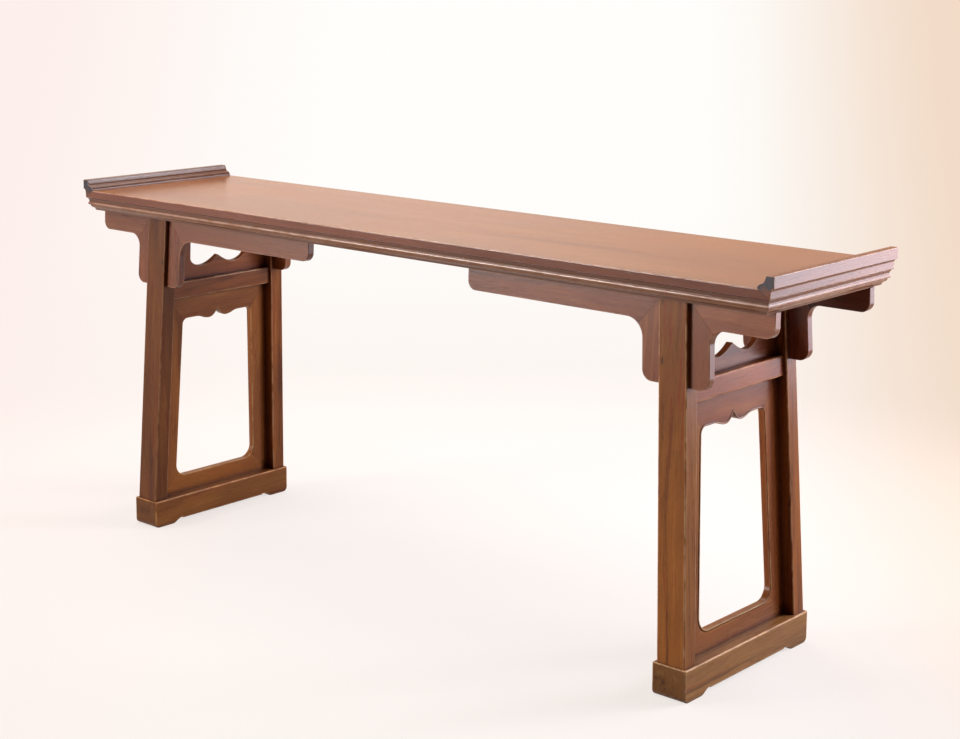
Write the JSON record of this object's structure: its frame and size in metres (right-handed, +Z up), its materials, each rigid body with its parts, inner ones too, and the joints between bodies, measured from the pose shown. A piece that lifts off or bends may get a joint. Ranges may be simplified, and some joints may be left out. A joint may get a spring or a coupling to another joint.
{
  "type": "altar table",
  "caption": "Long narrow side table with upturned end flanges, splayed legs in slotted apron brackets, openwork end frames and shoe feet.",
  "frame": {"origin": "on the floor under the middle of the top, at the bottom of the overall box's centre", "axes": "+Z up, +X along the table's length to its right end, +Y from the front to the back"},
  "size_m": [2.005, 0.446, 0.8455],
  "materials": {
    "tabletop_wood": "close-grained rosewood, oiled and waxed to a soft gloss, reddish tan",
    "flange_wood": "the same rosewood with end grain at the front and back, waxed",
    "leg_wood": "rosewood with upright grain, golden and red streaks and small dark knots, waxed",
    "apron_wood": "rosewood, level grain on the aprons and upright grain on the spandrels, waxed",
    "frame_wood": "rosewood boards between the legs, waxed",
    "foot_wood": "rosewood, waxed, a little worn along its arrises"
  },
  "bodies": {
    "root": {"front_left_frame_stile": "frame_wood", "front_left_inner_apron": "apron_wood", "front_left_leg": "leg_wood", "front_left_outer_apron": "apron_wood", "front_left_spandrel": "apron_wood", "front_right_frame_stile": "frame_wood", "front_right_inner_apron": "apron_wood", "front_right_leg": "leg_wood", "front_right_outer_apron": "apron_wood", "front_right_spandrel": "apron_wood", "left_end_clamp": "flange_wood", "left_foot": "foot_wood", "left_frame_head": "frame_wood", "left_frame_rail": "frame_wood", "left_scalloped_board": "frame_wood", "left_side_stretcher": "frame_wood", "rear_left_frame_stile": "frame_wood", "rear_left_inner_apron": "apron_wood", "rear_left_leg": "leg_wood", "rear_left_outer_apron": "apron_wood", "rear_left_spandrel": "apron_wood", "rear_right_frame_stile": "frame_wood", "rear_right_inner_apron": "apron_wood", "rear_right_leg": "leg_wood", "rear_right_outer_apron": "apron_wood", "rear_right_spandrel": "apron_wood", "right_end_clamp": "flange_wood", "right_foot": "foot_wood", "right_frame_head": "frame_wood", "right_frame_rail": "frame_wood", "right_scalloped_board": "frame_wood", "right_side_stretcher": "frame_wood", "top_plank": "tabletop_wood"}
  },
  "joints": []
}
